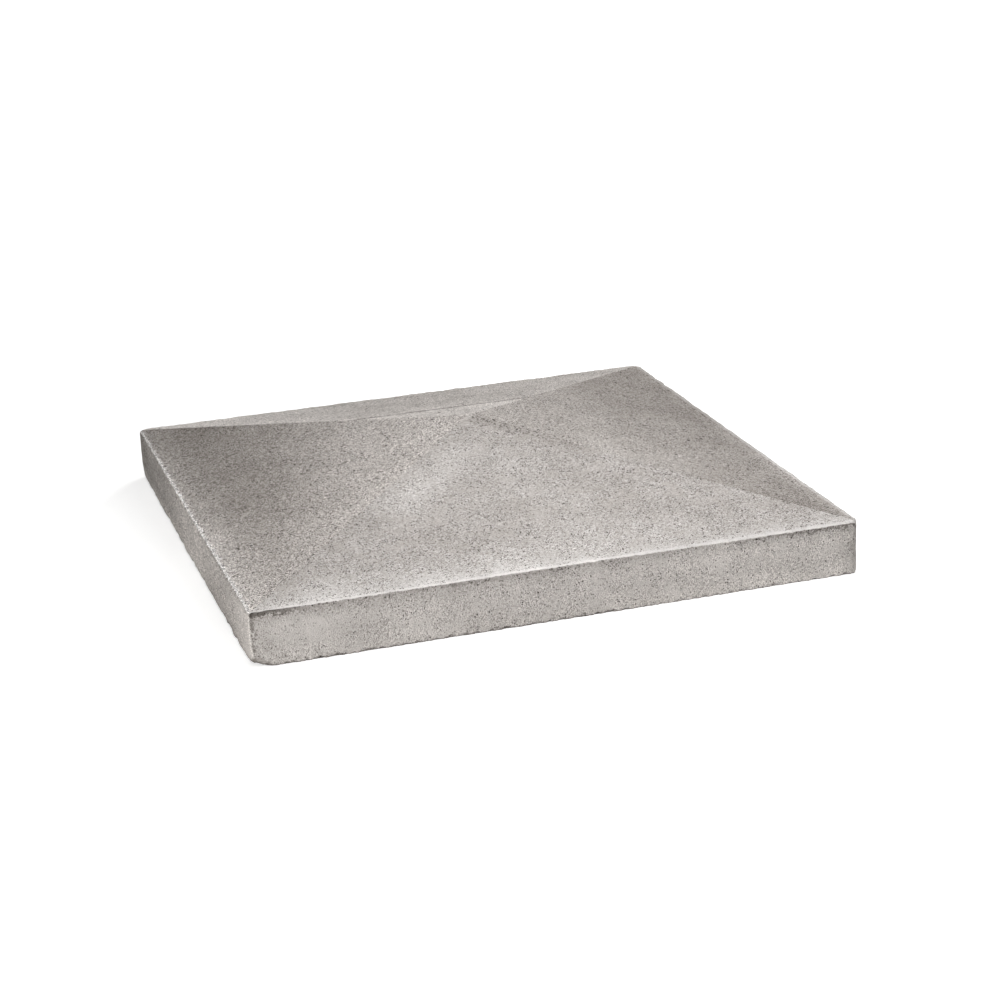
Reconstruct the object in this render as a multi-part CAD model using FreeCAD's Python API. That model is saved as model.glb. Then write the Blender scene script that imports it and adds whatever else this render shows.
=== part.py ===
import FreeCAD, Part
import math
import os

from FreeCAD import Vector

# Pier cap: one solid concrete casting that sheds rain off the head of a square masonry pier.
# It has a level bed, four upright sides and a top weathered four ways to a low apex.
# The origin is the middle of the bed, +Z is up, and the sides are square to X and Y.

# Driving dimensions, in millimetres
plan_side = 450.0       # length of each side on plan
rim_height = 40.0       # upright side, from the bed to the top arris
top_rise = 47.0         # from the top arris to the point where the four slopes would meet
apex_radius = 30.0      # blunting of that point, as cast
rim_radius = 1.5        # top arris, between a side and its slope
bed_radius = 1.5        # bottom arris, between a side and the bed
corner_radius = 2.5     # upright arris, between two sides

# Sizes that follow from them
half_side = plan_side / 2
apex_height = rim_height + top_rise
crossing_length = 2 * plan_side     # the gables run well past the sides
upright_length = 4 * apex_height    # the plan runs well past the bed and the apex


def corner_arc(before, corner, after, radius):
    # The start, middle and end of the arc that turns a corner tangent to its two runs
    back = (before - corner).normalize()
    ahead = (after - corner).normalize()
    half_angle = back.getAngle(ahead) / 2
    tangent_length = radius / math.tan(half_angle)
    inset = radius / math.sin(half_angle) - radius
    middle = corner + (back + ahead).normalize() * inset
    return corner + back * tangent_length, middle, corner + ahead * tangent_length


def rounded_face(corners):
    # A flat face from pairs of corner point and corner radius, in order round the outline
    points = [point for point, radius in corners]
    following = points[1:] + points[:1]
    arcs = [corner_arc(points[i - 1], point, following[i], radius)
            for i, (point, radius) in enumerate(corners)]
    edges = []
    for arc, next_arc in zip(arcs, arcs[1:] + arcs[:1]):
        edges.append(Part.Arc(*arc).toShape())
        edges.append(Part.LineSegment(arc[-1], next_arc[0]).toShape())
    return Part.Face(Part.Wire(edges))


def run_through(face, direction, length):
    # A prism that runs as far to one side of the face's own plane as to the other
    placed = face.translated(direction * (-length / 2))
    return placed.extrude(direction * length)


def gable_profile():
    # The elevation that all four sides share: bed, two upright sides and two slopes
    return rounded_face([
        (Vector(-half_side, 0, 0), bed_radius),
        (Vector(half_side, 0, 0), bed_radius),
        (Vector(half_side, 0, rim_height), rim_radius),
        (Vector(0, 0, apex_height), apex_radius),
        (Vector(-half_side, 0, rim_height), rim_radius),
    ])


def plan_profile():
    # The square that the cap covers, with its upright arrises taken off
    corner_signs = ((-1, -1), (1, -1), (1, 1), (-1, 1))
    return rounded_face([(Vector(x * half_side, y * half_side, 0), corner_radius) for x, y in corner_signs])


def pier_cap():
    # Two gables that cross at right angles leave four slopes, mitred at the hips and at the arrises
    gable_along_y = run_through(gable_profile(), Vector(0, 1, 0), crossing_length)
    gable_along_x = gable_along_y.rotated(Vector(0, 0, 0), Vector(0, 0, 1), 90)
    upright_block = run_through(plan_profile(), Vector(0, 0, 1), upright_length)
    crossed = gable_along_y.common(gable_along_x)
    return crossed.common(upright_block).removeSplitter().Solids[0]


os.makedirs("parts", exist_ok=True)
cap = pier_cap()
cap.exportStep("parts/pier_cap.step")
print("pier cap:", len(cap.Faces), "faces,", round(cap.Volume / 1e6, 3), "litres, valid", cap.isValid())
print("overall:", cap.BoundBox)
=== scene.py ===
import math
from types import SimpleNamespace

import bpy
from mathutils import Matrix, Vector, noise


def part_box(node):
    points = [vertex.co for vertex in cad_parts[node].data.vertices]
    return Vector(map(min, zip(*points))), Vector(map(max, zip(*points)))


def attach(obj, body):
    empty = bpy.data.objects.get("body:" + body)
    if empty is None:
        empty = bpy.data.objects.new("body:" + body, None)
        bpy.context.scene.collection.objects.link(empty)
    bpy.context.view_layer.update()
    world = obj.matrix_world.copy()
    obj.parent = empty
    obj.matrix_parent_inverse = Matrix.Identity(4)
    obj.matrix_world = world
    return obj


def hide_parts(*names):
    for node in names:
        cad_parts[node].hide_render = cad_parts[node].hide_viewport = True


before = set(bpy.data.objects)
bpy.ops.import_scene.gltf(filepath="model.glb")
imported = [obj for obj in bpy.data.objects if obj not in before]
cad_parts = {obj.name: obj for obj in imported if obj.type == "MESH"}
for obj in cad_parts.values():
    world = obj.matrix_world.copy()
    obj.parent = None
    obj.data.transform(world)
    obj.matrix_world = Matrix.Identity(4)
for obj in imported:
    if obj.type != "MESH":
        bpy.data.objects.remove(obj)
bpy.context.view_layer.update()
scene = bpy.context.scene
scene.view_settings.view_transform = "Standard"


# The cast shape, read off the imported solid

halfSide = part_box("pier_cap")[1].x
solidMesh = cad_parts["pier_cap"].data
rightSlope = [f for f in solidMesh.polygons if f.normal.x > 0.1 and f.normal.z > 0.5]
slopeNormal = max(rightSlope, key=lambda f: f.area).normal
slopeRun = slopeNormal.x / slopeNormal.z     # rise of a slope for each metre in from the rim
sideTop = max(v.co.z for v in solidMesh.vertices if v.co.x > halfSide - 1e-5)

castEdges = {
    "rim": 0.0015,          # arris radii
    "bed": 0.0015,
    "corner": 0.0025,
    "apex": 0.030,
}
slopeLean = math.atan(slopeRun)
rimTurn = math.pi / 2 - slopeLean     # how far the profile turns over the rim
rimTangent = castEdges["rim"] * math.tan(rimTurn / 2)
rimHeight = sideTop + rimTangent
apexPoint = rimHeight + halfSide * slopeRun     # where the slopes would meet if the apex were sharp

meshSteps = {
    "slope": 0.0027,        # spacing of points half way up the slopes
    "side": 0.0021,         # half way down the sides
    "arris": 0.00095,       # along the arrises
    "opening": 0.12,        # how fast the spacing opens out from an arris
    "score": 0.0007,        # across the scored line
    "scoreOpening": 0.4,    # and out from that line
    "turnRows": 5,          # rows round each arris
    "bedRows": (0.003, 0.006, 0.010, 0.016, 0.026, 0.045, 0.090, 0.150, 0.205),
    "bedOpening": 0.6,      # spacing on the bed for each metre in from the side
}

scoredLine = {
    "reach": 0.073,         # from the middle, on the back slope
    "lip": 0.0004,          # how far its outer edge stands up
    "lipShare": 0.7,        # of that for certain, the rest comes and goes
    "lipSize": 0.020,       # over this length
    "fall": 0.008,          # over what length that edge dies away
    "stain": (0.0024, 0.0006),
    "stainTone": -0.55,
}


def slopeHeight(reach):
    # height of the top at this distance from the middle, with the apex blunted
    blunt = castEdges["apex"]
    if reach >= blunt * math.sin(slopeLean):
        return apexPoint - slopeRun * reach
    crown = apexPoint - blunt * (1 / math.cos(slopeLean) - 1)
    return crown - (blunt - math.sqrt(blunt ** 2 - reach ** 2))


def arrisRows(radius, middle, start, sweep):
    # rows round an arris; middle is the height of its centre, start the way it faces at first
    rows = []
    count = meshSteps["turnRows"]
    for i in range(count + 1):
        turn = start - sweep * i / count
        out, up = math.cos(turn), math.sin(turn)
        rows.append((halfSide - radius + radius * out, middle + radius * up, out, up, meshSteps["arris"]))
    return rows


def profileRows():
    # rows from the apex over the rim and down to the bed: reach, height, outward part, upward part, spacing
    rows = []
    fine = meshSteps["arris"]
    opening = meshSteps["opening"]
    bedRadius = castEdges["bed"]
    rimEdge = halfSide - rimTangent * math.cos(slopeLean)
    reach = fine
    while reach < rimEdge - fine / 2:
        spacing = min(meshSteps["slope"], fine + opening * (rimEdge - reach))
        rows.append((reach, slopeHeight(reach), math.sin(slopeLean), math.cos(slopeLean), spacing))
        fromScore = abs(reach - scoredLine["reach"])
        reach += min(spacing, meshSteps["score"] + meshSteps["scoreOpening"] * fromScore)
    rows += arrisRows(castEdges["rim"], sideTop, math.pi / 2 - slopeLean, rimTurn)
    height = sideTop - fine
    while height > bedRadius + fine / 2:
        nearest = min(sideTop - height, height - bedRadius)
        spacing = min(meshSteps["side"], fine + opening * nearest)
        rows.append((halfSide, height, 1.0, 0.0, spacing))
        height -= spacing
    rows += arrisRows(bedRadius, bedRadius, 0.0, math.pi / 2)
    for inset in meshSteps["bedRows"]:
        rows.append((halfSide - inset, 0.0, 0.0, -1.0, max(inset * meshSteps["bedOpening"], 2 * fine)))
    return rows


def sidePoints(reach, count):
    # points along the front side of a square row, left to right, with the way out from each
    radius = max(0.0, castEdges["corner"] - (halfSide - reach))
    straight = reach - radius
    total = straight + radius * math.pi / 4
    points = []
    for i in range(count):
        along = (2 * i / count - 1) * total
        if abs(along) <= straight or radius == 0:
            points.append((along, -reach, 0.0, -1.0))
            continue
        turn = (abs(along) - straight) / radius
        hand = math.copysign(1, along)
        points.append((hand * (straight + radius * math.sin(turn)), -straight - radius * math.cos(turn),
                       hand * math.sin(turn), -math.cos(turn)))
    return points


def stitch(upper, lower, upperCount, lowerCount):
    # triangles between two rows that may have different numbers of points along each side
    faces = []
    for side in range(4):
        i = j = 0
        while i < upperCount or j < lowerCount:
            a = upper + (side * upperCount + i) % (4 * upperCount)
            b = lower + (side * lowerCount + j) % (4 * lowerCount)
            if j == lowerCount or (i < upperCount and (i + 1) * lowerCount <= (j + 1) * upperCount):
                i += 1
                faces.append((a, b, upper + (side * upperCount + i) % (4 * upperCount)))
            else:
                j += 1
                faces.append((a, b, lower + (side * lowerCount + j) % (4 * lowerCount)))
    return faces


castRelief = {
    "warp": 0.00014,        # slow waviness of the faces
    "warpSize": 0.080,
    "grit": 0.00013,        # coarse sand that breaks the outline
    "gritSize": 0.0034,
    "gritBack": 2.0,        # the back slope is the coarser one
    "edgeLean": 0.8,        # how far up or down an edge moves for each step outward
    "finFront": 0.0003,     # flash along the top arris, by side
    "finLeft": 0.0006,
    "finRight": 0.0009,
    "finBack": 0.0009,
    "finSize": 0.011,
    "finWidth": 0.0010,
    "finShare": 0.8,        # of its height for certain
    "finVary": 0.6,         # and how much of it comes and goes
    "voidDepth": 0.0008,    # voids left open just under the flash
    "voidSize": 0.0024,
    "voidBand": 0.0060,
    "voidStart": 0.15,      # weaker noise than this opens none
    "bedLoss": 0.0011,      # crumbled bottom arris
    "bedLossSize": 0.0045,
    "bedLossWidth": 0.0018,
    "bedLossVary": 1.3,
    "bedLossProud": 0.25,   # share of the loss that crumbs may stand proud
    "bedLossLayer": 0.3,    # another layer of the noise than the flash has
}

# wear on arrises and corners: the way it faces, its depth, how uneven it is and over what length
wornEdges = [
    ((-1, -1, -1), 0.0070, 0.0012, 0.006),
    ((-1, 1, -1), 0.0060, 0.0012, 0.006),
    ((1, -1, -1), 0.0016, 0.0005, 0.005),
    ((1, 1, -1), 0.0034, 0.0008, 0.005),
    ((-1, 1, 1), 0.0026, 0.0005, 0.004),
    ((1, -1, 1), 0.0026, 0.0005, 0.004),
    ((1, 1, 1), 0.0022, 0.0005, 0.004),
    ((-1, 0, -1), 0.0011, 0.0012, 0.050),
    ((-1, 0, -1), 0.0012, 0.0032, 0.010),
    ((0, 1, -1), 0.0012, 0.0010, 0.040),
    ((1, -1, 0), 0.0022, 0.0004, 0.012),
    ((1, 1, 0), 0.0024, 0.0005, 0.010),
    ((-1, 1, 0), 0.0018, 0.0004, 0.010),
    ((-0.4, -1, 0), 0.0010, 0.0008, 0.0035),
]
wearSoftness = 0.6     # share of the depth over which a worn face blends into its neighbours


def fractal(point, size, octaves):
    return noise.fractal(point / size, 1.0, 2.0, octaves)     # each octave half the size of the last


def wear(place):
    for facing, depth, uneven, size in wornEdges:
        corner = Vector([math.copysign(halfSide, f) if f else 0.0 for f in facing])
        corner.z = rimHeight if facing[2] > 0 else 0.0
        facing = Vector(facing).normalized()
        proud = (place - corner).dot(facing) + depth
        if proud < -depth:
            continue
        proud += fractal(place, size, 2) * uneven
        soft = wearSoftness * depth
        if proud > soft:
            place = place - facing * proud
        elif proud > -soft:
            place = place - facing * ((proud + soft) ** 2 / (4 * soft))
    return place


def finHeight(point):
    if abs(point.x) > abs(point.y):
        return castRelief["finRight" if point.x > 0 else "finLeft"]
    return castRelief["finBack" if point.y > 0 else "finFront"]


def roughen(point, out, level):
    # moves one cast point by the relief of the real surface; level is its height and out the way it faces
    relief = castRelief
    onBack = point.y > abs(point.x)
    moved = fractal(point, relief["warpSize"], 2) * relief["warp"]
    grit = fractal(point, relief["gritSize"], 3) * relief["grit"]
    moved += grit * relief["gritBack"] if onBack else grit
    under = (rimHeight - level) / relief["voidBand"]
    onSide = out[2] < 0.5
    if onSide and 0 < under < 2:
        opened = max(0.0, fractal(point, relief["voidSize"], 2) - relief["voidStart"])
        moved -= opened * relief["voidDepth"] * math.exp(-under ** 2)
    place = point + Vector(out) * moved
    inset = halfSide - max(abs(point.x), abs(point.y))
    fromRim = math.hypot(inset, level - rimHeight)
    if fromRim < 4 * relief["finWidth"]:
        fin = fractal(Vector((point.x, point.y, 0)), relief["finSize"], 4)
        fin = max(0.0, relief["finShare"] + relief["finVary"] * fin) * finHeight(point)
        fin *= math.exp(-(fromRim / relief["finWidth"]) ** 2)
        place += Vector((out[0], out[1], relief["edgeLean"])) * fin
    fromBed = math.hypot(inset, level)
    if fromBed < 4 * relief["bedLossWidth"]:
        loss = fractal(Vector((point.x, point.y, relief["bedLossLayer"])), relief["bedLossSize"], 3)
        loss = max(-relief["bedLossProud"], relief["bedLossVary"] * loss) * relief["bedLoss"]
        loss *= math.exp(-(fromBed / relief["bedLossWidth"]) ** 2)
        place -= Vector((out[0], out[1], -relief["edgeLean"])) * loss
    beyond = point.y - scoredLine["reach"]
    if onBack and level > rimHeight and beyond > 0:
        lip = max(0.0, scoredLine["lipShare"] + fractal(point, scoredLine["lipSize"], 2))
        place.z += lip * scoredLine["lip"] * math.exp(-beyond / scoredLine["fall"])
    return place


def castCap():
    rows = profileRows()
    points = [Vector((0, 0, slopeHeight(0.0)))]
    outs = [(0.0, 0.0, 1.0)]
    levels = [points[0].z]
    starts = []
    counts = []
    for reach, height, out, up, spacing in rows:
        count = max(4, round(2 * reach / spacing))
        starts.append(len(points))
        counts.append(count)
        for quarter in range(4):
            turn = Matrix.Rotation(math.pi / 2 * quarter, 3, "Z")
            for x, y, outX, outY in sidePoints(reach, count):
                points.append(turn @ Vector((x, y, height)))
                outs.append(tuple(turn @ Vector((outX * out, outY * out, up))))
                levels.append(height)
    points.append(Vector((0, 0, 0)))
    outs.append((0.0, 0.0, -1.0))
    levels.append(0.0)
    faces = []
    firstRing = 4 * counts[0]
    for i in range(firstRing):
        faces.append((0, starts[0] + i, starts[0] + (i + 1) % firstRing))
    for k in range(len(rows) - 1):
        faces += stitch(starts[k], starts[k + 1], counts[k], counts[k + 1])
    lastRing = 4 * counts[-1]
    for i in range(lastRing):
        faces.append((len(points) - 1, starts[-1] + (i + 1) % lastRing, starts[-1] + i))
    placed = []
    for point, out, level in zip(points, outs, levels):
        onBed = out[2] < -0.99
        place = wear(point if onBed else roughen(point, out, level))
        placed.append((place.x, place.y, max(place.z, 0.0)))
    mesh = bpy.data.meshes.new("castConcreteCap")
    mesh.from_pydata(placed, [], faces)
    mesh.validate()
    mesh.polygons.foreach_set("use_smooth", [True] * len(mesh.polygons))
    mesh.update()
    cap = bpy.data.objects.new("castConcreteCap", mesh)
    scene.collection.objects.link(cap)
    print("cap cast:", len(points), "points,", len(faces), "triangles")
    return cap


# Node helpers for the finishes

def addNode(tree, kind, inputs=None, **settings):
    node = tree.nodes.new("ShaderNode" + kind)
    for name, value in settings.items():
        setattr(node, name, value)
    for name, value in (inputs or {}).items():
        if isinstance(value, bpy.types.NodeSocket):
            tree.links.new(value, node.inputs[name])
        else:
            node.inputs[name].default_value = value
    return node


def calc(tree, operation, *values):
    return addNode(tree, "Math", dict(enumerate(values)), operation=operation).outputs[0]


def fade(tree, value, start, end, low=0.0, high=1.0):
    # low at start, high at end, smooth between
    span = {"Value": value, "From Min": start, "From Max": end, "To Min": low, "To Max": high}
    return addNode(tree, "MapRange", span, interpolation_type="SMOOTHSTEP").outputs[0]


def blend(tree, share, first, second):
    return addNode(tree, "Mix", {0: share, 2: first, 3: second}).outputs[0]


def times(tree, tone, amount, gain):
    # tone made lighter or darker by the gain where amount is 1
    return calc(tree, "MULTIPLY", tone, calc(tree, "MULTIPLY_ADD", amount, gain, 1.0))


def away(tree, value, middle):
    return calc(tree, "ABSOLUTE", calc(tree, "SUBTRACT", value, middle))


def cloud(tree, place, size, detail=2.0, roughness=0.5):
    look = {"Vector": place, "Scale": 1 / size, "Detail": detail, "Roughness": roughness}
    return addNode(tree, "TexNoise", look).outputs["Fac"]


def evenCloud(tree, place, size, detail):
    # the same, as much below 0 as above it
    return calc(tree, "SUBTRACT", cloud(tree, place, size, detail), 0.5)


def grains(tree, place, size):
    # a random tone for each grain, and the distance from its middle in grain sizes
    cells = addNode(tree, "TexVoronoi", {"Vector": place, "Scale": 1 / size, "Randomness": 1.0})
    tone = addNode(tree, "SeparateColor", {"Color": cells.outputs["Color"]}).outputs["Red"]
    return tone, cells.outputs["Distance"]


# marks on the concrete, many of them painted light and shade: the edge from where each begins to where it is
# full, how much lighter or darker it is, how far the noises move that edge, the span along which it comes
# in, and until where it shows
castMarks = {
    # painted light along the left rim
    "leftRim": {"edge": (0.036, -0.006), "gain": 0.50, "drift": 0.020, "span": (0.03, 0.10, 1.35, 1.0)},
    # painted shade towards the back left corner
    "leftCorner": {"edge": (0.09, 0.05), "gain": -0.16, "drift": 0.040},
    # painted shade over the middle of the left slope
    "leftShade": {"edge": (1.0, 0.1), "gain": -0.10, "drift": 0.8},
    # painted light along the right rim
    "rightRim": {"edge": (0.020, 0.003), "gain": 0.28, "drift": 0.008, "span": (0.0, -0.10, 0.5, 1.0)},
    # painted shade towards the back of the right slope
    "rightBack": {"edge": (0.0, 0.06), "gain": -0.10, "drift": 0.040, "span": (0.13, 0.07)},
    # painted shade at the front end of the right slope
    "rightFront": {"edge": (-0.11, -0.19), "gain": -0.18},
    # painted light along the front rim
    "frontRim": {"edge": (0.014, 0.0), "gain": 0.26},
    "frontLeftHip": {"edge": (0.040, 0.0), "gain": -0.16, "drift": 0.030, "span": (0.06, 0.02)},
    "frontShade": {"edge": (1.0, 0.1), "gain": -0.14, "drift": 0.8},
    "hipWear": {"edge": (0.018, 0.004), "gain": -0.14, "span": (0.0, 0.01), "until": (0.17, 0.03)},
    # painted light on the front slope beside the left hip
    "hipPale": {"edge": (0.035, 0.0), "gain": 0.15, "span": (0.03, 0.08), "until": (0.26, 0.20)},
    # painted shade low along the left side, rising towards the back
    "leftLowShade": {"edge": (0.006, -0.006), "gain": -0.18, "drift": 0.012},
    # painted shade and light along the left side, darker towards the back and lighter at the front end
    "leftBack": {"edge": (0.15, 0.21), "gain": -0.15},
    "leftMiddle": {"edge": (-0.01, -0.08), "gain": -0.20},
    "leftFront": {"edge": (-0.14, -0.20), "gain": 0.24},
    # painted shade along the foot of the left side towards the front
    "leftFoot": {"edge": (0.010, 0.003), "gain": -0.22, "drift": 0.010, "span": (-0.03, -0.10)},
    # painted light lifting the foot of the left side towards the back
    "leftBackFoot": {"edge": (0.012, 0.004), "gain": 0.48, "drift": 0.010, "span": (0.03, 0.10)},
    "frontLeftArris": {"edge": (0.0045, 0.0010), "gain": -0.55, "ragged": 0.012, "speckle": 0.012},
    "frontLeftEnd": {"edge": (0.040, 0.010), "gain": -0.08, "drift": 0.030},
    # painted shadow of the flash under the front rim
    "frontUnderRim": {"edge": (-0.012, -0.003), "gain": -0.10, "span": (0.10, 0.20, 1.0, 1.8)},
    "frontUpper": {"edge": (0.022, 0.030), "gain": 0.09, "drift": 0.010, "span": (0.07, 0.03)},
    # painted light towards the right of the front side
    "frontRight": {"edge": (0.0, 0.2), "gain": 0.22},
    # painted shade at the right end of the front side
    "frontRightEnd": {"edge": (0.018, 0.006), "gain": -0.15, "drift": 0.010},
    "frontRightArris": {"edge": (0.004, 0.001), "gain": 0.40},
    "frontRightFoot": {"edge": (0.014, 0.003), "gain": 0.10, "span": (0.02, 0.12)},
    # band under the top arris, stained and in painted shadow of the flash
    "underRim": {"edge": (-0.0036, -0.0014), "ragged": 0.008, "speckle": 0.012},
    # bottom arris darkened as painted contact shade where it meets the floor
    "bedArris": {"edge": (0.0020, 0.0006), "gain": -0.50, "ragged": 0.006, "speckle": 0.006},
    # painted shade on faces that turn down towards the floor
    "turnedUnder": {"edge": (-0.15, -0.60), "gain": -0.50, "ragged": 1.2},
}

# lines and middles that some marks are measured from
markLines = {
    "leftRimMiddle": -0.03,     # where the left rim is palest
    "hipRagged": 0.03,          # how far noise moves the worn hip
    "besideLeftHip": 0.03,      # how far to the right of the left hip the front slope is palest
    "lowShadeRise": 0.30,           # the painted shade low on the left side rises towards the back
    "lowShadeStart": -0.024,
    "frontUpperMiddle": 0.095,
}


def ruffle(tree, value, cloudy, amount):
    return calc(tree, "MULTIPLY_ADD", cloudy, amount, value)


def shown(tree, at, name, value, along=None):
    # how much of a mark shows: value crosses its edge, along runs along its span
    look = castMarks[name]
    for cloudy in ("drift", "ragged", "speckle"):
        if cloudy in look:
            value = ruffle(tree, value, getattr(at, cloudy), look[cloudy])
    amount = fade(tree, value, *look["edge"])
    for end in ("span", "until"):
        if end in look:
            amount = calc(tree, "MULTIPLY", amount, fade(tree, along, *look[end]))
    return amount


def mark(tree, at, tone, name, value, along=None):
    return times(tree, tone, shown(tree, at, name, value, along), castMarks[name]["gain"])


# oval patches: the middle, then how far each reaches both ways
castPatches = {
    "leftShade": (-0.175, 0.0, 0.075, 0.11),
    "frontShade": (0.085, -0.060, 0.040, 0.034),
    "frontPaste": (-0.185, 0.025, 0.040, 0.013),
}


def intoPatch(tree, name, across, along):
    # 0 in the middle of an oval patch, 1 at its edge
    middleAcross, middleAlong, reachAcross, reachAlong = castPatches[name]
    first = calc(tree, "DIVIDE", calc(tree, "SUBTRACT", across, middleAcross), reachAcross)
    second = calc(tree, "DIVIDE", calc(tree, "SUBTRACT", along, middleAlong), reachAlong)
    return calc(tree, "MULTIPLY_ADD", first, first, calc(tree, "MULTIPLY", second, second))


def bySide(tree, at, front, back, left, right):
    lengthwise = blend(tree, at.backHand, front, back)
    return blend(tree, at.sideways, lengthwise, blend(tree, at.leftHand, right, left))


# where the top meets the sides and the sides each other
castBounds = {
    "hip": 0.0012,          # half widths of the blends from side to side
    "middle": 0.004,
    "ragged": (0.005, 3.0),     # size and detail of the noises that break up edges
    "drift": (0.030, 2.0),
    "speckle": (0.0016, 2.0),
    "frontLoss": (0.045, 0.010, 0.0005, 0.0016),    # what the front takes off the top, towards the left
    "frontShare": (0.13, 0.0, -1.0, 1.0),           # and how that turns round to the right
    "leftLoss": 0.0003,     # what the left side takes
    "wander": 0.0024,
    "rim": (-0.0004, 0.0006),
}


def castPlaces(tree):
    # where a point of the surface is, in the ways that the tones and marks are measured
    bounds = castBounds
    at = SimpleNamespace()
    coords = addNode(tree, "TexCoord").outputs
    at.place = coords["Object"]
    at.x, at.y, at.z = addNode(tree, "SeparateXYZ", {"Vector": at.place}).outputs
    at.facingUp = addNode(tree, "SeparateXYZ", {"Vector": coords["Normal"]}).outputs["Z"]
    at.absX = calc(tree, "ABSOLUTE", at.x)
    at.absY = calc(tree, "ABSOLUTE", at.y)
    at.inset = calc(tree, "SUBTRACT", halfSide, calc(tree, "MAXIMUM", at.absX, at.absY))
    at.overRim = calc(tree, "SUBTRACT", at.z, rimHeight)
    at.fromLeft = calc(tree, "ADD", at.x, halfSide)
    at.fromRight = calc(tree, "SUBTRACT", halfSide, at.x)
    at.fromBack = calc(tree, "SUBTRACT", halfSide, at.y)
    overHip = calc(tree, "SUBTRACT", at.absX, at.absY)
    at.sideways = fade(tree, overHip, -bounds["hip"], bounds["hip"])
    at.leftHand = fade(tree, at.x, bounds["middle"], -bounds["middle"])
    at.backHand = fade(tree, at.y, -bounds["middle"], bounds["middle"])
    at.ragged = evenCloud(tree, at.place, *bounds["ragged"])
    at.drift = evenCloud(tree, at.place, *bounds["drift"])
    at.speckle = evenCloud(tree, at.place, *bounds["speckle"])
    overEdge = calc(tree, "ADD", at.inset, calc(tree, "MINIMUM", at.overRim, 0.0))
    frontLoss = fade(tree, at.fromLeft, *bounds["frontLoss"])
    frontLoss = calc(tree, "MULTIPLY", frontLoss, fade(tree, at.x, *bounds["frontShare"]))
    overEdge = calc(tree, "SUBTRACT", overEdge, bySide(tree, at, frontLoss, 0.0, bounds["leftLoss"], 0.0))
    at.onTop = fade(tree, ruffle(tree, overEdge, at.ragged, bounds["wander"]), *bounds["rim"])
    return at


# painted light and shade of the slopes and sides beside the plain colour: from where, to where, the tone at
# each
castTones = {
    "leftSlope": (0.05, 0.28, 0.75, 1.19),      # away from the rim and the back
    "leftLean": 0.35,                           # how much the way from the back counts
    "rightSlope": (0.04, 0.24, 0.858, 1.09),
    "rightLean": 0.25,
    "frontSlope": (-0.18, -0.06, 0.985, 1.06),  # left to right
    "frontRise": (0.045, 0.006),                # towards the rim
    "frontRim": (0.06, 0.0, 1.22, 1.33),        # along the rim, right to left
    "backSlope": (0.11, 0.17, 1.47, 1.79),      # towards the apex
    "backDrift": (-0.20, -0.02, 1.20, 0.81),    # left to right
    "leftSide": (0.10, 0.0, 0.91, 1.25),        # away from the back
    # how much the left side's own colour varies at random
    "leftRagged": 0.30,
}


# each slope painted lighter or darker by how light falls on it: the left darkest towards its back corner,
# the right towards its rim and back, the back palest, the front lightest along its rim
def slopeTone(tree, at):
    tones = castTones
    left = fade(tree, ruffle(tree, at.fromLeft, at.fromBack, tones["leftLean"]), *tones["leftSlope"])
    left = mark(tree, at, left, "leftRim", at.inset, away(tree, at.y, markLines["leftRimMiddle"]))
    left = mark(tree, at, left, "leftCorner", at.fromBack)
    left = mark(tree, at, left, "leftShade", intoPatch(tree, "leftShade", at.x, at.y))
    right = fade(tree, ruffle(tree, at.fromRight, at.fromBack, tones["rightLean"]), *tones["rightSlope"])
    right = mark(tree, at, right, "rightRim", at.inset, at.y)
    right = mark(tree, at, right, "rightBack", at.y, at.fromRight)
    right = mark(tree, at, right, "rightFront", at.y)
    front = fade(tree, at.x, *tones["frontSlope"])
    frontRim = fade(tree, at.x, *tones["frontRim"])
    front = fade(tree, at.inset, *tones["frontRise"], front, frontRim)
    front = mark(tree, at, front, "frontRim", at.inset)
    front = mark(tree, at, front, "frontLeftHip", calc(tree, "SUBTRACT", at.fromLeft, at.inset), at.inset)
    front = mark(tree, at, front, "frontShade", intoPatch(tree, "frontShade", at.x, at.y))
    back = fade(tree, at.inset, *tones["backSlope"])
    back = calc(tree, "MULTIPLY", back, fade(tree, at.x, *tones["backDrift"]))
    fromScore = away(tree, at.y, scoredLine["reach"])
    back = times(tree, back, fade(tree, fromScore, *scoredLine["stain"]), scoredLine["stainTone"])
    return bySide(tree, at, front, back, left, right)


def hipMarks(tree, at, tone):
    # the front right hip is worn open from the apex down, and painted light lies on the front slope beside
    # the left one
    alongRight = calc(tree, "SUBTRACT", at.x, at.y)
    raggedY = ruffle(tree, at.y, at.ragged, markLines["hipRagged"])
    fromRightHip = calc(tree, "ABSOLUTE", calc(tree, "ADD", at.x, raggedY))
    at.hipWear = shown(tree, at, "hipWear", fromRightHip, alongRight)     # the sand is open there too
    tone = times(tree, tone, at.hipWear, castMarks["hipWear"]["gain"])
    alongLeft = calc(tree, "SUBTRACT", calc(tree, "MULTIPLY", at.x, -1.0), at.y)
    besideLeft = away(tree, alongRight, markLines["besideLeftHip"])
    return mark(tree, at, tone, "hipPale", besideLeft, alongLeft)


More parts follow.
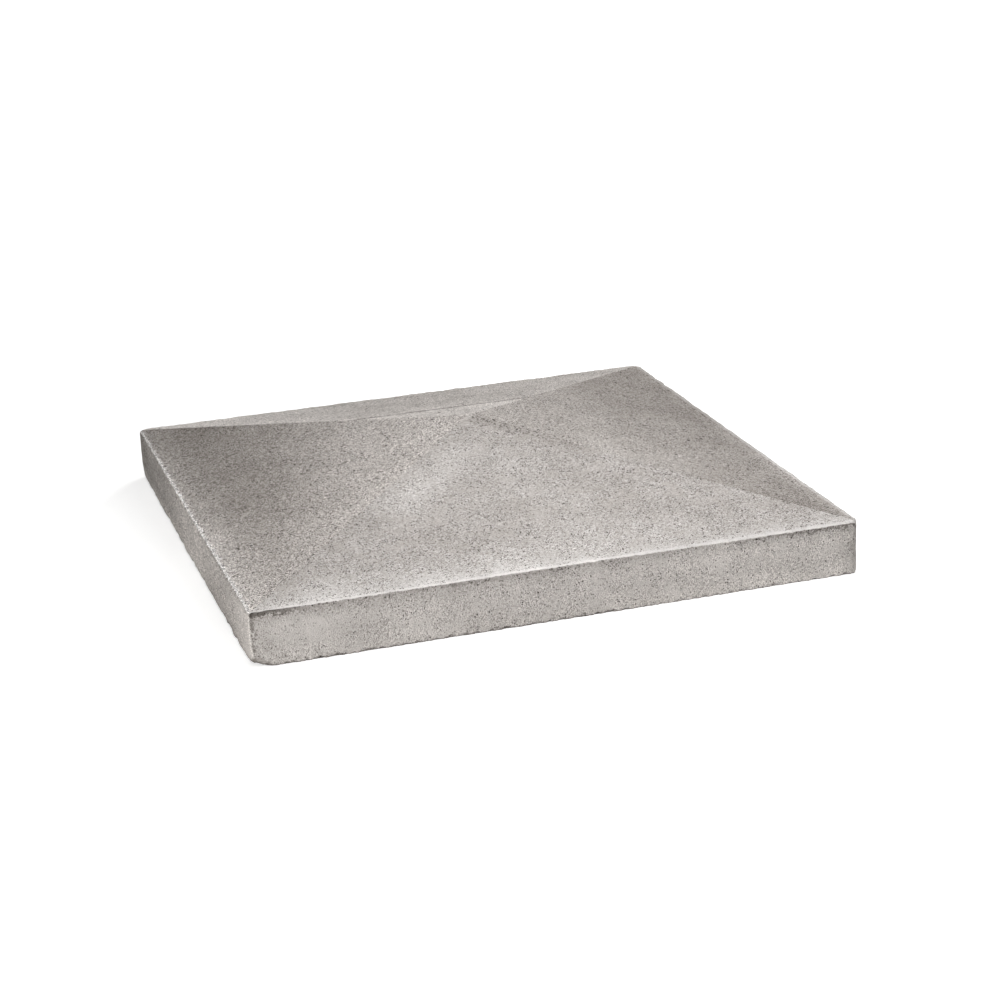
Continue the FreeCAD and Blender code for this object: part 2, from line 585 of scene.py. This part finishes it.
# the left side painted darker towards the back and at its foot, the front side painted lighter to the right,
# with painted shadow under the flash and painted shade at its right end
def sideTone(tree, at):
    left = fade(tree, at.y, *castTones["leftSide"])
    left = mark(tree, at, left, "leftBack", at.y)
    left = mark(tree, at, left, "leftMiddle", at.y)
    left = mark(tree, at, left, "leftFront", at.y)
    # painted shade low on the left side, higher towards the back
    lowShadeHeight = calc(tree, "MULTIPLY_ADD", at.y, markLines["lowShadeRise"], markLines["lowShadeStart"])
    left = mark(tree, at, left, "leftLowShade", calc(tree, "SUBTRACT", at.z, lowShadeHeight))
    left = mark(tree, at, left, "leftFoot", at.z, at.y)
    left = mark(tree, at, left, "leftBackFoot", at.z, at.y)
    left = times(tree, left, at.ragged, castTones["leftRagged"])
    front = mark(tree, at, 1.0, "frontLeftArris", at.fromLeft)
    front = mark(tree, at, front, "frontLeftEnd", at.fromLeft)
    front = mark(tree, at, front, "frontUnderRim", at.overRim, at.absX)
    front = mark(tree, at, front, "frontUpper", at.z, away(tree, at.x, markLines["frontUpperMiddle"]))
    front = mark(tree, at, front, "frontRight", at.x)
    front = mark(tree, at, front, "frontRightEnd", at.fromRight)
    front = mark(tree, at, front, "frontRightArris", at.fromRight)
    front = mark(tree, at, front, "frontRightFoot", at.z, at.x)
    return bySide(tree, at, front, 1.0, left, 1.0)


# the flash along the top arris with its painted highlight, the stain and painted shadow under it, and the
# crumbled foot darkened as painted contact shade
rimLooks = {
    # for the front, back, left and right: how far noise moves the edge of the flash, how much narrower it is
    "flashRagged": (0.003, 0.004, 0.006, 0.004),
    "flashSpeckle": (0.001, 0.004, 0.006, 0.002),
    "flashInset": (0.0, 0.0, 0.0006, 0.0),
    "flashEdge": (0.0044, 0.0022),
    # how much lighter or darker: one gain, or from where along the side, to where, the gain at each
    # the pale flash brightened further as a painted highlight on the arris
    "frontFlashHighlight": 0.11,
    "backFlashHighlight": 0.0,
    "leftFlashHighlight": (0.04, -0.12, 0.75, 0.30),
    "rightFlashHighlight": 0.42,
    # stain and painted shadow of the flash just under the top arris
    "frontLeftStainShade": (-0.175, -0.21, -0.16, -0.62),
    "frontRightStainShade": (0.12, 0.20, 0.0, -0.36),
    "leftStainShade": (-0.02, -0.08, 0.05, -0.12),
    "hiddenStainShade": -0.15,
    # how much of the painted contact shade along the foot shows
    "frontFoot": (0.02, 0.08, 1.0, 0.0),
    "leftFoot": 1.0,
    "hiddenFoot": 0.6,
}


def rimMarks(tree, at, tone):
    # pale flash with a painted highlight along the top arris, stained, open and in painted shadow just under
    # it, and a bottom arris darkened as painted contact shade
    looks = rimLooks
    flashEdge = ruffle(tree, at.inset, at.ragged, bySide(tree, at, *looks["flashRagged"]))
    flashEdge = ruffle(tree, flashEdge, at.speckle, bySide(tree, at, *looks["flashSpeckle"]))
    flashEdge = calc(tree, "ADD", flashEdge, bySide(tree, at, *looks["flashInset"]))
    at.flash = calc(tree, "MULTIPLY", at.onTop, fade(tree, flashEdge, *looks["flashEdge"]))
    # painted highlight on the flash, by side
    leftFlashHighlight = fade(tree, at.y, *looks["leftFlashHighlight"])
    flashHighlightGain = bySide(tree, at, looks["frontFlashHighlight"], looks["backFlashHighlight"], leftFlashHighlight, looks["rightFlashHighlight"])
    tone = times(tree, tone, at.flash, flashHighlightGain)
    belowTop = calc(tree, "SUBTRACT", 1.0, at.onTop)
    at.underRim = calc(tree, "MULTIPLY", shown(tree, at, "underRim", at.overRim), belowTop)
    # darker just under the top arris: stain and painted shadow of the flash
    frontStainShade = fade(tree, at.x, *looks["frontLeftStainShade"])
    frontStainShade = calc(tree, "ADD", frontStainShade, fade(tree, at.x, *looks["frontRightStainShade"]))
    leftStainShade = fade(tree, at.y, *looks["leftStainShade"])
    stainShadeGain = bySide(tree, at, frontStainShade, looks["hiddenStainShade"], leftStainShade, looks["hiddenStainShade"])
    tone = times(tree, tone, at.underRim, stainShadeGain)
    # bottom arris darkened as painted contact shade over its crumbled edge
    frontFoot = fade(tree, at.x, *looks["frontFoot"])
    foot = bySide(tree, at, frontFoot, looks["hiddenFoot"], looks["leftFoot"], looks["hiddenFoot"])
    crumbledFootShade = calc(tree, "MULTIPLY", shown(tree, at, "bedArris", at.z), foot)
    tone = times(tree, tone, crumbledFootShade, castMarks["bedArris"]["gain"])
    # painted shade where the surface turns down towards the floor
    return mark(tree, at, tone, "turnedUnder", at.facingUp)


concreteFinish = {
    "colour": (0.451, 0.423, 0.401),
    "roughness": 0.9,
    "specular": 0.05,
    "browner": 0.035,       # how much browner the darker parts are
    "pale": (1.05, 1.45),   # tones over which the top loses warmth as a painted highlight
    # for the front, back, left and right
    "highlightCooling": (-0.034, -0.020, -0.023, -0.030),   # how much less warm the painted highlights are
    "flashed": (0.0, 0.0, -0.030, -0.012),          # and the flash with its painted highlight
    # warmer on the left and right slopes and sides, as the colour of their painted shade
    "topWarmth": (1.0115, 1.014, 1.020, 1.021),
    "sideWarmth": (0.9985, 1.0, 1.005, 1.008),
    "topMottle": (0.08, 0.10, 0.06, 0.08),
    "topSand": (0.92, 1.15, 1.53, 1.23),            # how strongly the sand shows
    "flashSand": (-0.8, -0.6, 0.3, -0.7),           # how much more than that on the flash
    "topPaste": (0.85, 1.0, 0.4, 0.6),              # how plain the patches of paste are
    # from where, to where, the value at each
    "mottleSpan": (0.3, 0.7, -1.0, 1.0),
    "pasteSpan": (0.62, 0.48, -0.45, 0.10),
    "leftSand": (-0.21, -0.12, 1.0, 1.90),          # along the left side
    "frontSand": (0.3, 1.5, 0.24, 0.65),            # out from the smooth patch on the front
    "palestAtRim": (0.0, 0.030, 0.08, 0.7),         # in from the front rim
    # size, detail and roughness of the clouds
    "mottleCloud": (0.050, 4.0, 0.6),
    "pasteCloud": (0.016, 3.0, 0.55),
    "fineCloud": (0.00042, 1.0),
    # single values
    "sideMottle": 0.10,
    "sandSize": 0.00072,
    "sand": 0.95,           # contrast of the grains
    "fine": 1.02,           # and of the dust between them
    "hiddenSand": 0.75,     # how strongly the sand shows on the back and right sides
    "frontWander": 2.0,     # how far the outline of the smooth patch wanders
    "palest": 0.7,          # limits of a grain's tone
    "darkest": -0.86,
    "grainHeight": 0.00040,
    "grainTop": 0.6,        # height of the middle of a grain, in grain sizes
    "fineRelief": 0.5,
    "pinholeDepth": 0.0006,
    "wobbleSize": 0.0011,   # breaks up the round outline of the holes
    "wobble": 0.0010,
}

# holes: cell size, the draw from which a cell has one, its soft edge, how much wider in open sand, its tone,
# dark as painted shade inside the hole, then the widest reach from the middle of a cell, as values for each
# side or from where to where by inset
pinholes = {"size": 0.0015, "draw": 0.42, "edge": 0.12, "wider": 0.6, "tone": -0.85}
pinholeReach = {"top": (0.48, 0.50, 0.42, 0.46), "sides": 0.42}
pits = {"size": 0.0048, "draw": 0.35, "edge": 0.03, "wider": 0.5, "tone": -0.90}
pitReach = {"front": 0.17, "back": 0.25, "left": 0.23, "right": (0.10, 0.03, 0.23, 0.28)}


def holes(tree, place, kind, widest, opened):
    # 1 inside a hole; widest is its largest reach from the middle of its cell
    draw, distance = grains(tree, place, kind["size"])
    reach = times(tree, fade(tree, draw, kind["draw"], 1.0, 0.0, widest), opened, kind["wider"])
    return fade(tree, calc(tree, "SUBTRACT", reach, distance), 0.0, kind["edge"])


def openHoles(tree, at):
    # pinholes between the grains all over, and wider pits on the top
    finish = concreteFinish
    wobble = addNode(tree, "TexNoise", {"Vector": at.place, "Scale": 1 / finish["wobbleSize"]})
    place = addNode(tree, "VectorMath", {
        0: wobble.outputs["Color"],
        1: [finish["wobble"]] * 3,
        2: at.place,
    }, operation="MULTIPLY_ADD").outputs["Vector"]
    openSand = calc(tree, "ADD", at.underRim, at.hipWear)
    widest = blend(tree, at.onTop, pinholeReach["sides"], bySide(tree, at, *pinholeReach["top"]))
    pinhole = holes(tree, place, pinholes, widest, openSand)
    rightPit = fade(tree, at.inset, *pitReach["right"])
    widest = bySide(tree, at, pitReach["front"], pitReach["back"], pitReach["left"], rightPit)
    pit = holes(tree, place, pits, calc(tree, "MULTIPLY", at.onTop, widest), at.hipWear)
    return pinhole, pit


def sandStrength(tree, at):
    # how bare of paste the sand is, and how strongly it then shows
    finish = concreteFinish
    patchy = fade(tree, cloud(tree, at.place, *finish["pasteCloud"]), *finish["pasteSpan"])
    pasted = blend(tree, at.onTop, 1.0, bySide(tree, at, *finish["topPaste"]))
    bare = calc(tree, "MULTIPLY_ADD", patchy, pasted, 1.0)
    smooth = ruffle(tree, intoPatch(tree, "frontPaste", at.x, at.z), at.drift, finish["frontWander"])
    frontSand = fade(tree, smooth, *finish["frontSand"])
    leftSand = fade(tree, at.y, *finish["leftSand"])
    onSides = bySide(tree, at, frontSand, finish["hiddenSand"], leftSand, finish["hiddenSand"])
    onTop = bySide(tree, at, *finish["topSand"])
    strength = calc(tree, "MULTIPLY", bare, blend(tree, at.onTop, onSides, onTop))
    return bare, times(tree, strength, at.flash, bySide(tree, at, *finish["flashSand"]))


def sandGrain(tree, at):
    # sand grains with holes between them, and smoother paste over both in patches
    finish = concreteFinish
    sandTone, sandDistance = grains(tree, at.place, finish["sandSize"])
    fineTone = cloud(tree, at.place, *finish["fineCloud"])
    pinhole, pit = openHoles(tree, at)
    bare, strength = sandStrength(tree, at)
    grain = calc(tree, "MULTIPLY", calc(tree, "SUBTRACT", sandTone, 0.5), finish["sand"])
    grain = calc(tree, "MULTIPLY_ADD", calc(tree, "SUBTRACT", fineTone, 0.5), finish["fine"], grain)
    palest = finish["palest"]
    frontPalest = blend(tree, at.onTop, palest, fade(tree, at.inset, *finish["palestAtRim"]))
    grain = calc(tree, "MINIMUM", grain, bySide(tree, at, frontPalest, palest, palest, palest))
    # holes painted dark, as the shade inside them
    grain = calc(tree, "MULTIPLY_ADD", pinhole, pinholes["tone"], grain)
    grain = calc(tree, "MULTIPLY_ADD", pit, pits["tone"], grain)
    grain = calc(tree, "MAXIMUM", calc(tree, "MULTIPLY", grain, strength), finish["darkest"])
    relief = calc(tree, "MULTIPLY", calc(tree, "SUBTRACT", finish["grainTop"], sandDistance), bare)
    relief = calc(tree, "MULTIPLY_ADD", fineTone, finish["fineRelief"], relief)
    return grain, relief, calc(tree, "MAXIMUM", pinhole, pit)


def castWarmth(tree, at, tone):
    # browner where it is dark, warmer on the left and right as the colour of their painted shade, less warm
    # where the top is pale with painted highlight
    finish = concreteFinish
    warmth = calc(tree, "POWER", calc(tree, "MINIMUM", tone, 1.0), -finish["browner"])
    topWarmth = bySide(tree, at, *finish["topWarmth"])
    sideWarmth = bySide(tree, at, *finish["sideWarmth"])
    warmth = calc(tree, "MULTIPLY", warmth, blend(tree, at.onTop, sideWarmth, topWarmth))
    pale = calc(tree, "MULTIPLY", at.onTop, fade(tree, tone, *finish["pale"]))
    warmth = times(tree, warmth, pale, bySide(tree, at, *finish["highlightCooling"]))
    return times(tree, warmth, at.flash, bySide(tree, at, *finish["flashed"]))


def castConcrete():
    finish = concreteFinish
    material = bpy.data.materials.new("castConcrete")
    material.use_nodes = True
    tree = material.node_tree
    tree.nodes.clear()
    at = castPlaces(tree)
    tone = blend(tree, at.onTop, sideTone(tree, at), hipMarks(tree, at, slopeTone(tree, at)))
    mottle = fade(tree, cloud(tree, at.place, *finish["mottleCloud"]), *finish["mottleSpan"])
    mottleGain = blend(tree, at.onTop, finish["sideMottle"], bySide(tree, at, *finish["topMottle"]))
    tone = times(tree, tone, mottle, mottleGain)
    tone = rimMarks(tree, at, tone)
    grain, relief, hole = sandGrain(tree, at)
    tone = times(tree, tone, grain, 1.0)
    warmth = castWarmth(tree, at, tone)
    red, green, blue = finish["colour"]
    paint = addNode(tree, "CombineColor", {
        "Red": calc(tree, "MULTIPLY", calc(tree, "MULTIPLY", tone, warmth), red),
        "Green": calc(tree, "MULTIPLY", tone, green),
        "Blue": calc(tree, "MULTIPLY", calc(tree, "DIVIDE", tone, warmth), blue),
    })
    sandBump = addNode(tree, "Bump", {"Height": relief, "Distance": finish["grainHeight"]})
    holeBump = addNode(tree, "Bump", {
        "Height": hole,
        "Distance": finish["pinholeDepth"],
        "Normal": sandBump.outputs["Normal"],
    }, invert=True)
    surface = addNode(tree, "BsdfPrincipled", {
        "Base Color": paint.outputs[0],
        "Roughness": finish["roughness"],
        "Specular IOR Level": finish["specular"],
        "Normal": holeBump.outputs["Normal"],
    })
    addNode(tree, "OutputMaterial", {"Surface": surface.outputs[0]})
    print("concrete mixed:", len(tree.nodes), "nodes")
    return material


cap = castCap()
cap.data.materials.append(castConcrete())
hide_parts("pier_cap")
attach(cap, "root")


# Floor, light and camera

studio = {
    "floorSize": 16.0,
    "floorColour": (0.80, 0.80, 0.79),
    "floorGlow": 0.60,      # only for rays that show the background, so that the floor comes out white
    "glowReach": (0.5, 1.2),    # further out than this the floor is plain white
    "worldColour": (1.0, 1.0, 1.0),
    "worldLevel": 0.15,
}

# name, place, panel size, watts
softPanels = [
    ("topPanel", (-0.40, -0.60, 1.10), 0.66, 2.7),
    ("leftPanel", (-0.80, -0.90, 0.16), 0.30, 7.6),
    ("backPanel", (0.50, 0.90, 0.45), 0.40, 7.3),
    ("frontPanel", (0.20, -0.40, 0.45), 0.27, 1.0),
    ("middlePanel", (0.00, -0.20, 0.45), 0.27, 0.7),
]


def seenRays(tree):
    # 1 for rays that show the background: straight from the lens, in a gloss or through glass
    rays = addNode(tree, "LightPath").outputs
    seen = calc(tree, "MAXIMUM", rays["Is Camera Ray"], rays["Is Glossy Ray"])
    return calc(tree, "MAXIMUM", seen, rays["Is Transmission Ray"])


def layFloor():
    mesh = bpy.data.meshes.new("studioFloor")
    half = studio["floorSize"] / 2
    corners = [(-half, -half, 0), (half, -half, 0), (half, half, 0), (-half, half, 0)]
    mesh.from_pydata(corners, [], [(0, 1, 2, 3)])
    floor = bpy.data.objects.new("studioFloor", mesh)
    scene.collection.objects.link(floor)
    material = bpy.data.materials.new("paleFloor")
    material.use_nodes = True
    tree = material.node_tree
    tree.nodes.clear()
    place = addNode(tree, "TexCoord").outputs["Object"]
    fromMiddle = addNode(tree, "VectorMath", {0: place}, operation="LENGTH").outputs["Value"]
    level = fade(tree, fromMiddle, *studio["glowReach"], studio["floorGlow"], 1.0)
    matt = addNode(tree, "BsdfDiffuse", {"Color": (*studio["floorColour"], 1.0)})
    glow = addNode(tree, "Emission", {
        "Color": (1.0, 1.0, 1.0, 1.0),
        "Strength": calc(tree, "MULTIPLY", seenRays(tree), level),
    })
    both = addNode(tree, "AddShader", {0: matt.outputs[0], 1: glow.outputs[0]})
    addNode(tree, "OutputMaterial", {"Surface": both.outputs[0]})
    mesh.materials.append(material)
    print("floor laid:", studio["floorSize"], "m square")


def lightStudio():
    world = bpy.data.worlds.new("studioWorld")
    scene.world = world
    world.use_nodes = True
    tree = world.node_tree
    tree.nodes.clear()
    level = blend(tree, seenRays(tree), studio["worldLevel"], 1.0)
    sky = addNode(tree, "Background", {"Color": (*studio["worldColour"], 1.0), "Strength": level})
    addNode(tree, "OutputWorld", {"Surface": sky.outputs[0]})
    aim = Vector((0, 0, rimHeight))
    for name, stand, size, watts in softPanels:
        lamp = bpy.data.lights.new(name, "AREA")
        lamp.size = size
        lamp.energy = watts
        panel = bpy.data.objects.new(name, lamp)
        scene.collection.objects.link(panel)
        panel.location = stand
        panel.rotation_euler = (aim - panel.location).to_track_quat("-Z", "Y").to_euler()
        panel.visible_camera = False
    print("lit by", len(softPanels), "panels")


viewPoint = {
    "lens": 84.41,          # millimetres
    "sensor": 36.0,
    "place": (-0.48239, -1.67474, 0.62438),
    "aim": (0.02284, 0.0, 0.01358),
    "roll": 2.49,           # degrees
    "farthest": 50.0,
}


def setCamera():
    lensData = bpy.data.cameras.new("photoCamera")
    lensData.lens = viewPoint["lens"]
    lensData.sensor_width = viewPoint["sensor"]
    lensData.clip_end = viewPoint["farthest"]
    camera = bpy.data.objects.new("photoCamera", lensData)
    scene.collection.objects.link(camera)
    camera.location = viewPoint["place"]
    look = (Vector(viewPoint["aim"]) - camera.location).to_track_quat("-Z", "Y").to_matrix()
    camera.rotation_euler = (look @ Matrix.Rotation(math.radians(-viewPoint["roll"]), 3, "Z")).to_euler()
    scene.camera = camera
    print("camera set:", viewPoint["lens"], "mm lens")


layFloor()
lightStudio()
setCamera()
